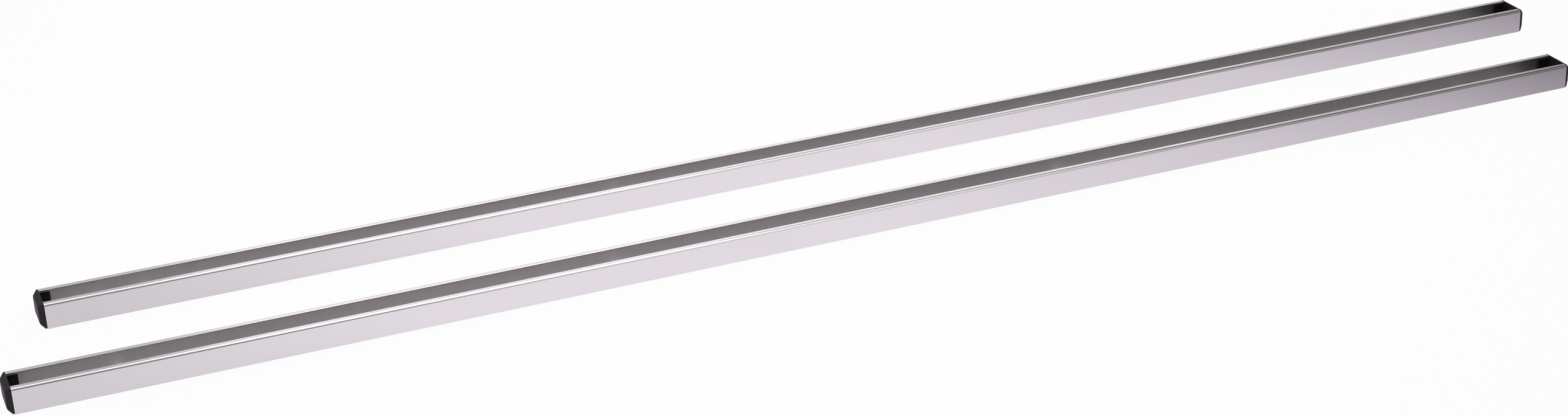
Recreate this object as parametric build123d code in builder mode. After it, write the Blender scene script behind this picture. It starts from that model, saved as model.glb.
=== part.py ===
"""A pair of mounting rails that carry a roof tent on a car's roof bars.

Each rail is one straight aluminium extrusion with a C section: a web at the bottom, two side
walls and two lips that turn in over the channel and leave a slot along the top. The web is
drilled for the bolts that hold the rail to the tent's base, and the clamps that grip the roof
bars slide in the slot. A moulded plastic cap is pushed into each sawn end.

The rails lie side by side with the slot up, one a little further along than the other.
X runs along the rails, Y from the front rail to the rear rail, Z up from the surface they lie
on. The origin is at the middle of the pair, on that surface. Millimetres.
"""
import os

from build123d import *

# Rail section
RAIL_WIDTH = 45.0
RAIL_HEIGHT = 30.0
RAIL_LENGTH = 1914.0
WALL = 2.5
LIP_THICKNESS = 2.5
LIP_WIDTH = 7.5
TOP_CORNER_RADIUS = 3.0
BOTTOM_CORNER_RADIUS = 0.8
INNER_CORNER_RADIUS = 1.0
SLOT_EDGE_RADIUS = 0.5

# Bolt holes along the middle of the web
BOLT_HOLE_DIAMETER = 8.5
BOLT_HOLE_COUNT = 4
BOLT_END_DISTANCE = 117.0

# How the two rails lie
RAIL_SPACING = 185.0
RAIL_STAGGER = 62.6

# End cap: a bevelled face with broken edges and two cheeks that plug the channel
CAP_DEPTH = 7.0
CAP_RIM = 2.0
CAP_RIM_BREAK = 0.6
CAP_BEVEL_WIDTH = 4.2
CAP_FACE_BREAK = 0.5
CHEEK_DEPTH = 12.0
CHEEK_THICKNESS = 2.5
CHEEK_LEAD_IN = 0.8
PLUG_CLEARANCE = 0.1

slot_width = RAIL_WIDTH - 2 * LIP_WIDTH
channel_width = RAIL_WIDTH - 2 * WALL
channel_height = RAIL_HEIGHT - WALL - LIP_THICKNESS
bolt_hole_pitch = (RAIL_LENGTH - 2 * BOLT_END_DISTANCE) / (BOLT_HOLE_COUNT - 1)
plug_half_width = channel_width / 2 - PLUG_CLEARANCE
plug_bottom = WALL + PLUG_CLEARANCE
plug_top = WALL + channel_height - PLUG_CLEARANCE
cheek_inside = plug_half_width - CHEEK_THICKNESS

# Outlines of a cap's face, as (how far out from the rail's end, how far in from the rail's sides)
cap_outlines = [
    (0, 0),
    (CAP_RIM, 0),
    (CAP_RIM + CAP_RIM_BREAK, CAP_RIM_BREAK),
    (CAP_DEPTH - CAP_FACE_BREAK, CAP_BEVEL_WIDTH),
    (CAP_DEPTH, CAP_BEVEL_WIDTH + 3 * CAP_FACE_BREAK),
]

# Middle of each rail along X and across Y
rail_places = {
    "front_rail": (-RAIL_STAGGER / 2, -RAIL_SPACING / 2),
    "rear_rail": (RAIL_STAGGER / 2, RAIL_SPACING / 2),
}
# Which way along X each end of a rail points
rail_ends = {"left": -1, "right": 1}

from_bottom = (Align.CENTER, Align.MIN)
coincident = 1e-4


def corners(sketch, half_width, level):
    """The two points of a section that lie this far from its middle line, at this level."""
    return [
        vertex
        for vertex in sketch.vertices()
        if abs(abs(vertex.X) - half_width) < coincident and abs(vertex.Y - level) < coincident
    ]


os.makedirs("parts", exist_ok=True)

# Rails: the section is drawn at the rail's left end and drawn out along X
for rail_name, (middle_x, middle_y) in rail_places.items():
    section_plane = Plane(
        origin=(middle_x - RAIL_LENGTH / 2, middle_y, 0),
        x_dir=(0, 1, 0),
        z_dir=(1, 0, 0),
    )
    web_plane = Plane(origin=(middle_x, middle_y, WALL))
    with BuildPart() as rail:
        with BuildSketch(section_plane) as section:
            Rectangle(RAIL_WIDTH, RAIL_HEIGHT, align=from_bottom)
            with Locations((0, WALL)):
                Rectangle(channel_width, channel_height, align=from_bottom, mode=Mode.SUBTRACT)
            with Locations((0, RAIL_HEIGHT - LIP_THICKNESS)):
                Rectangle(slot_width, LIP_THICKNESS, align=from_bottom, mode=Mode.SUBTRACT)
            fillet(corners(section, RAIL_WIDTH / 2, RAIL_HEIGHT), TOP_CORNER_RADIUS)
            fillet(corners(section, RAIL_WIDTH / 2, 0), BOTTOM_CORNER_RADIUS)
            fillet(corners(section, channel_width / 2, WALL), INNER_CORNER_RADIUS)
            fillet(corners(section, channel_width / 2, RAIL_HEIGHT - LIP_THICKNESS), INNER_CORNER_RADIUS)
            fillet(corners(section, slot_width / 2, RAIL_HEIGHT), SLOT_EDGE_RADIUS)
        extrude(amount=RAIL_LENGTH)
        with BuildSketch(web_plane):
            with GridLocations(bolt_hole_pitch, 0, BOLT_HOLE_COUNT, 1):
                Circle(BOLT_HOLE_DIAMETER / 2)
        extrude(amount=-WALL, mode=Mode.SUBTRACT)
    rail.part.label = rail_name
    export_step(rail.part, f"parts/{rail_name}.step")

# End caps: drawn on the sawn end of the rail, with the sketch's up along Z and its normal pointing out
for rail_name, (middle_x, middle_y) in rail_places.items():
    for end_name, outward in rail_ends.items():
        end_plane = Plane(
            origin=(middle_x + outward * RAIL_LENGTH / 2, middle_y, 0),
            x_dir=(0, outward, 0),
            z_dir=(outward, 0, 0),
        )
        with BuildPart() as cap:
            # Face, drawn through outlines that step in from a rim flush with the rail's sides
            for depth, inset in cap_outlines:
                with BuildSketch(end_plane.offset(depth)):
                    with Locations((0, RAIL_HEIGHT / 2)):
                        RectangleRounded(RAIL_WIDTH - 2 * inset, RAIL_HEIGHT - 2 * inset, TOP_CORNER_RADIUS)
            loft(ruled=True)
            # Cheeks, each against the inside of a side wall and rounded to suit the channel's corners
            with BuildSketch(end_plane) as cheeks:
                with Locations((0, plug_bottom)):
                    Rectangle(2 * plug_half_width, plug_top - plug_bottom, align=from_bottom)
                    Rectangle(2 * cheek_inside, plug_top - plug_bottom, align=from_bottom, mode=Mode.SUBTRACT)
                fillet(corners(cheeks, plug_half_width, plug_bottom), INNER_CORNER_RADIUS)
                fillet(corners(cheeks, plug_half_width, plug_top), INNER_CORNER_RADIUS)
            extrude(amount=-CHEEK_DEPTH)
            cheek_tips = cap.faces().filter_by(Axis.X).sort_by(Axis.X, reverse=outward > 0)[-2:]
            lead_in_edges = [
                edge
                for edge in cheek_tips.edges()
                if abs(edge.center().Y - middle_y) > cheek_inside + coincident
            ]
            chamfer(lead_in_edges, CHEEK_LEAD_IN)
        cap_name = f"{rail_name}_{end_name}_cap"
        cap.part.label = cap_name
        export_step(cap.part, f"parts/{cap_name}.step")
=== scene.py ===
import math

import bpy
from mathutils import Matrix, Vector


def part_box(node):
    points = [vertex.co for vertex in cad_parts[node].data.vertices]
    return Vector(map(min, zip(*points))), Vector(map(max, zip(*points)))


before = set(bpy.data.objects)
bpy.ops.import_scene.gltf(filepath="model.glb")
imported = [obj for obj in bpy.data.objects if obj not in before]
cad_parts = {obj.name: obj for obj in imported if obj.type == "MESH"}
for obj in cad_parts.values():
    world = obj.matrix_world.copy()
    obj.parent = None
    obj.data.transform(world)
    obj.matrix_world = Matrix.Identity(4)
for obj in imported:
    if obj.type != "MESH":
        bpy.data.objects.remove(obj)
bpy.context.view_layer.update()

bpy.ops.object.select_all(action="DESELECT")

# The two rails: straight C-shaped extrusions in aluminium, sawn to length.
# They are anodised to a satin silver over the fine lines that the die leaves along them.
# The inside of the channel is duller, and each sawn end has a thin painted highlight: its colour is paled
# towards white there.


class Finish:
    """A socket in a node tree. Sums on it add Math nodes, and node() adds any other node."""

    def __init__(self, tree, socket=None):
        self.tree = tree
        self.socket = socket

    def node(self, kind, settings=None, sockets=None, out=0):
        made = self.tree.nodes.new(kind)
        for name, value in (settings or {}).items():
            if name == "stops":
                stops = made.color_ramp.elements
                while len(stops) < len(value):
                    stops.new(1.0)
                for stop, (position, colour) in zip(stops, value):
                    stop.position = position
                    stop.color = colour
            else:
                setattr(made, name, value)
        for name, value in (sockets or {}).items():
            if isinstance(value, Finish):
                self.tree.links.new(value.socket, made.inputs[name])
            else:
                made.inputs[name].default_value = value
        return Finish(self.tree, made.outputs[out] if made.outputs else None)

    def math(self, operation, first, second):
        return self.node("ShaderNodeMath", {"operation": operation}, {0: first, 1: second})

    def __add__(self, other):
        return self.math("ADD", self, other)

    def __sub__(self, other):
        return self.math("SUBTRACT", self, other)

    def __rsub__(self, other):
        return self.math("SUBTRACT", other, self)

    def __mul__(self, other):
        return self.math("MULTIPLY", self, other)

    __radd__ = __add__
    __rmul__ = __mul__


def new_finish(name):
    """An empty node material and a start for its nodes."""
    material = bpy.data.materials.new(name)
    material.use_nodes = True
    material.node_tree.nodes.clear()
    return material, Finish(material.node_tree)


def streaks(start, place, along, across, seed, detail=2.0):
    """Noise drawn out along X: patches this many metres long and this wide."""
    stretched = start.node(
        "ShaderNodeMapping",
        {"vector_type": "POINT"},
        {"Vector": place, "Location": (seed, seed, seed), "Scale": (1 / along, 1 / across, 1 / across)},
    )
    return start.node(
        "ShaderNodeTexNoise", {}, {"Vector": stretched, "Scale": 1.0, "Detail": detail, "Roughness": 0.55}
    )


# Metres: the channel's extent from the rail's middle plane and from the floor, and the band of painted
# highlight at each sawn end
channel_half_width = 0.0202
channel_bottom = 0.002
channel_top = 0.0285
sawn_edge_inner = 0.0011
sawn_edge_outer = 0.0004
for rail_name in ("front_rail", "rear_rail"):
    low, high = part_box(rail_name)
    middle_x = (low.x + high.x) / 2
    middle_y = (low.y + high.y) / 2
    half_length = (high.x - low.x) / 2
    seed = {"front_rail": 3.7, "rear_rail": 9.1}[rail_name]
    satin_anodised, start = new_finish(rail_name + "_satin_anodised")
    place = start.node("ShaderNodeTexCoord", out="Object")
    die_lines = streaks(start, place, 1.3, 0.0022, seed)
    fine_lines = streaks(start, place, 0.25, 0.0005, seed + 20)
    bloom = streaks(start, place, 0.30, 0.06, seed + 40)
    along = start.node("ShaderNodeSeparateXYZ", {}, {0: place}, "X")
    from_middle = start.node("ShaderNodeMath", {"operation": "ABSOLUTE"}, {0: along - middle_x})
    # A mask for the thin band at each sawn end, which carries a painted highlight
    sawn_edge_highlight = start.node(
        "ShaderNodeMapRange",
        {"interpolation_type": "SMOOTHSTEP"},
        {
            0: from_middle,
            1: half_length - sawn_edge_inner,
            2: half_length - sawn_edge_outer,
            3: 0.0,
            4: 1.0,
        },
    )
    across = start.node("ShaderNodeSeparateXYZ", {}, {0: place}, "Y")
    from_centre = start.node("ShaderNodeMath", {"operation": "ABSOLUTE"}, {0: across - middle_y})
    height = start.node("ShaderNodeSeparateXYZ", {}, {0: place}, "Z")
    between_walls = start.math("LESS_THAN", from_centre, channel_half_width)
    below_slot = start.math("LESS_THAN", height, channel_top)
    above_web = start.math("GREATER_THAN", height, channel_bottom)
    channel = between_walls * below_slot * above_web
    tone = 0.30 * die_lines + 0.25 * fine_lines + 0.45 * bloom
    silver = start.node(
        "ShaderNodeMix",
        {"data_type": "RGBA"},
        {0: tone, 6: (0.755, 0.741, 0.743, 1), 7: (0.845, 0.829, 0.831, 1)},
        2,
    )
    # Painted highlight: the colour is mixed towards pale grey in the band at each sawn end, where the cut
    # edge catches the light; the same band is also made rougher
    silver = start.node(
        "ShaderNodeMix", {"data_type": "RGBA"}, {0: 0.6 * sawn_edge_highlight, 6: silver, 7: (0.93, 0.93, 0.93, 1)}, 2
    )
    roughness = 0.14 + 0.06 * die_lines + 0.05 * bloom + 0.12 * sawn_edge_highlight + 0.15 * channel
    relief = 0.75 * die_lines + 0.25 * fine_lines
    bumps = start.node("ShaderNodeBump", {}, {"Strength": 0.05, "Distance": 0.0002, "Height": relief})
    shaded = start.node(
        "ShaderNodeBsdfPrincipled",
        {},
        {"Base Color": silver, "Metallic": 1.0, "Roughness": roughness, "Normal": bumps},
    )
    start.node("ShaderNodeOutputMaterial", {}, {"Surface": shaded})
    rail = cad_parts[rail_name]
    rail.data.materials.clear()
    rail.data.materials.append(satin_anodised)

# The four end caps: black plastic, moulded with a fine spark-eroded texture on the face.
# Each is pushed into a sawn end, where its two cheeks grip the side walls of the channel.
moulded_black, start = new_finish("moulded_black_plastic")
place = start.node("ShaderNodeTexCoord", out="Object")
texture = start.node("ShaderNodeTexNoise", {}, {"Vector": place, "Scale": 1900.0, "Detail": 3.0})
flow = start.node("ShaderNodeTexNoise", {}, {"Vector": place, "Scale": 90.0, "Detail": 3.0})
black = start.node(
    "ShaderNodeMix",
    {"data_type": "RGBA"},
    {0: 0.6 * flow + 0.4 * texture, 6: (0.007, 0.005, 0.009, 1), 7: (0.017, 0.012, 0.021, 1)},
    2,
)
pits = start.node("ShaderNodeBump", {}, {"Strength": 0.35, "Distance": 0.00012, "Height": texture})
shaded = start.node(
    "ShaderNodeBsdfPrincipled",
    {},
    {"Base Color": black, "Roughness": 0.46 + 0.12 * flow, "Normal": pits, "IOR": 1.38},
)
start.node("ShaderNodeOutputMaterial", {}, {"Surface": shaded})
for cap_name in ("front_rail_left_cap", "front_rail_right_cap", "rear_rail_left_cap", "rear_rail_right_cap"):
    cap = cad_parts[cap_name]
    cap.data.materials.clear()
    cap.data.materials.append(moulded_black)

# The studio floor: a wide white sheet that the rails lie on.
# To the camera it is white with the rails' soft shadow on it. To metal it glows with a painted reflection,
# faintly violet and fading towards the ends of the sheet, most of all to the right: a painted light falloff.
bpy.ops.mesh.primitive_plane_add(size=24.0, location=(0, 0, -0.0004))
floor = bpy.context.active_object
floor.name = "studio_floor"
bpy.ops.object.transform_apply(location=True, rotation=True, scale=True)
white_sheet, start = new_finish("white_sheet")
place = start.node("ShaderNodeTexCoord", out="Object")
sheet_x = start.node("ShaderNodeSeparateXYZ", {}, {0: place}, "X")
sheet_y = start.node("ShaderNodeSeparateXYZ", {}, {0: place}, "Y")
sheet_slant = 0.8
sheet_middle = 0.1
across_view = sheet_x - sheet_slant * (sheet_y + sheet_middle)
sheet_half = 1.25
# Painted reflection: the glow levels and violet tints that metal sees on the sheet, fading to the right in
# place of real light falloff
reflection_levels = (0.78, 1.00, 1.00, 0.82, 0.60, 0.29)
reflection_stops = (0.10, 0.30, 0.50, 0.70, 0.82, 0.92)
reflection_tints = ((0.98, 0.93, 1.005),) * 3 + ((0.98, 0.92, 1.005), (0.96, 0.88, 0.98), (0.93, 0.82, 0.95))
painted_reflection_falloff = start.node(
    "ShaderNodeValToRGB",
    {
        "stops": [
            (stop, (*(level * share for share in tint), 1))
            for stop, level, tint in zip(reflection_stops, reflection_levels, reflection_tints)
        ]
    },
    {0: (across_view + sheet_half) * (0.5 / sheet_half)},
)
to_camera = start.node("ShaderNodeLightPath", out="Is Camera Ray")
to_metal = start.node("ShaderNodeLightPath", out="Is Glossy Ray")
to_glass = start.node("ShaderNodeLightPath", out="Is Transmission Ray")
camera_white = (1.012, 1.012, 1.012, 1)
seen_colour = start.node(
    "ShaderNodeMix", {"data_type": "RGBA"}, {0: to_metal, 6: camera_white, 7: painted_reflection_falloff}, 2
)
glow = start.node("ShaderNodeEmission", {}, {"Color": seen_colour, "Strength": 1.0})
paper = start.node("ShaderNodeBsdfDiffuse", {}, {"Color": (0.9, 0.9, 0.9, 1)})
seen_share = 0.93 * (to_camera + to_metal + to_glass)
sheet = start.node("ShaderNodeMixShader", {}, {0: seen_share, 1: paper, 2: glow})
start.node("ShaderNodeOutputMaterial", {}, {"Surface": sheet})
floor.data.materials.append(white_sheet)

# The studio light: a row of softboxes overhead and another behind the rails, in a dim room.
# The rows and the front wall of the room are brightest towards the middle, so that the rails
# fade towards both ends.
world = bpy.data.worlds.new("studio_room")
world.use_nodes = True
bpy.context.scene.world = world
world.node_tree.nodes.clear()
room = Finish(world.node_tree)
rear_left, rear_right = 0.34, 0.08
front_levels = (0.10, 0.26, 1.00, 0.75, 0.14, 0.02)
front_stops = (0.545, 0.60, 0.66, 0.70, 0.745, 0.80)
towards = room.node("ShaderNodeTexCoord", out="Generated")
towards_x = room.node("ShaderNodeSeparateXYZ", {}, {0: towards}, "X")
right_part = room.node(
    "ShaderNodeMapRange",
    {"interpolation_type": "SMOOTHSTEP"},
    {0: towards_x, 1: -0.1, 2: 0.65, 3: 0.0, 4: 1.0},
)
rear_part = room.node(
    "ShaderNodeMapRange",
    {"interpolation_type": "SMOOTHSTEP"},
    {0: room.node("ShaderNodeSeparateXYZ", {}, {0: towards}, "Y"), 1: -0.5, 2: 0.2, 3: 0.0, 4: 1.0},
)
front_wall = room.node(
    "ShaderNodeValToRGB",
    {"stops": [(stop, (level, level, level, 1)) for stop, level in zip(front_stops, front_levels)]},
    {0: 0.5 * towards_x + 0.5},
)
upper_part = room.node(
    "ShaderNodeMapRange",
    {"interpolation_type": "SMOOTHSTEP"},
    {0: room.node("ShaderNodeSeparateXYZ", {}, {0: towards}, "Z"), 1: 0.20, 2: 0.50, 3: 0.0, 4: 0.14},
)
front_level = front_wall + upper_part
rear_level = rear_left + right_part * (rear_right - rear_left)
room_light = room.node(
    "ShaderNodeBackground",
    {},
    {"Color": (1, 0.985, 0.97, 1), "Strength": (1 - rear_part) * front_level + rear_part * rear_level},
)
room.node("ShaderNodeOutputWorld", {}, {"Surface": room_light})


def softbox(name, place, aim, width, height, radiance):
    """A rectangular lamp of this size at a place, facing a point, with this brightness of its face."""
    lamp = bpy.data.lights.new(name, "AREA")
    lamp.shape = "RECTANGLE"
    lamp.size = width
    lamp.size_y = height
    lamp.energy = radiance * math.pi * width * height
    lamp.color = (1.0, 0.94, 0.985)
    holder = bpy.data.objects.new(name, lamp)
    holder.visible_camera = False
    bpy.context.scene.collection.objects.link(holder)
    facing = (Vector(aim) - Vector(place)).to_track_quat("-Z", "Y")
    holder.matrix_world = Matrix.Translation(place) @ facing.to_matrix().to_4x4()


row_pitch = 0.9
overhead_start = -0.9
rear_start = -0.8
overhead_levels = (0.9, 2.2, 0.35)
for number, level in enumerate(overhead_levels):
    lamp_x = overhead_start + row_pitch * number
    softbox(f"overhead_softbox_{number}", (lamp_x, 0.1, 2.0), (lamp_x, 0.1, 0.0), row_pitch, 2.6, level)
rear_levels = (0.30, 0.86, 0.98, 0.98, 0.62)
for number, level in enumerate(rear_levels):
    lamp_x = rear_start + row_pitch * number
    softbox(f"rear_softbox_{number}", (lamp_x, 3.0, 1.5), (lamp_x, 0.0, 0.2), row_pitch, 1.3, level)
softbox("left_softbox", (-2.6, -0.7, 0.8), (-0.95, 0.0, 0.0), 1.0, 1.0, 0.3)

# The camera, at the photograph's viewing angle.
camera_data = bpy.data.cameras.new("camera")
camera_data.sensor_fit = "HORIZONTAL"
camera_data.sensor_width = 36.0
camera_data.lens = 65.777
camera_data.clip_start = 0.05
camera_data.clip_end = 100.0
camera = bpy.data.objects.new("camera", camera_data)
bpy.context.scene.collection.objects.link(camera)
right = Vector((0.92526804, -0.37731341, -0.03890569))
up = Vector((0.19037206, 0.37321414, 0.90800313))
back = right.cross(up)
turn = Matrix((right, up, back)).transposed().to_4x4()
camera.matrix_world = Matrix.Translation((-1.18373, -2.84149, 1.39707)) @ turn
bpy.context.scene.camera = camera

bpy.context.scene.view_settings.view_transform = "Standard"
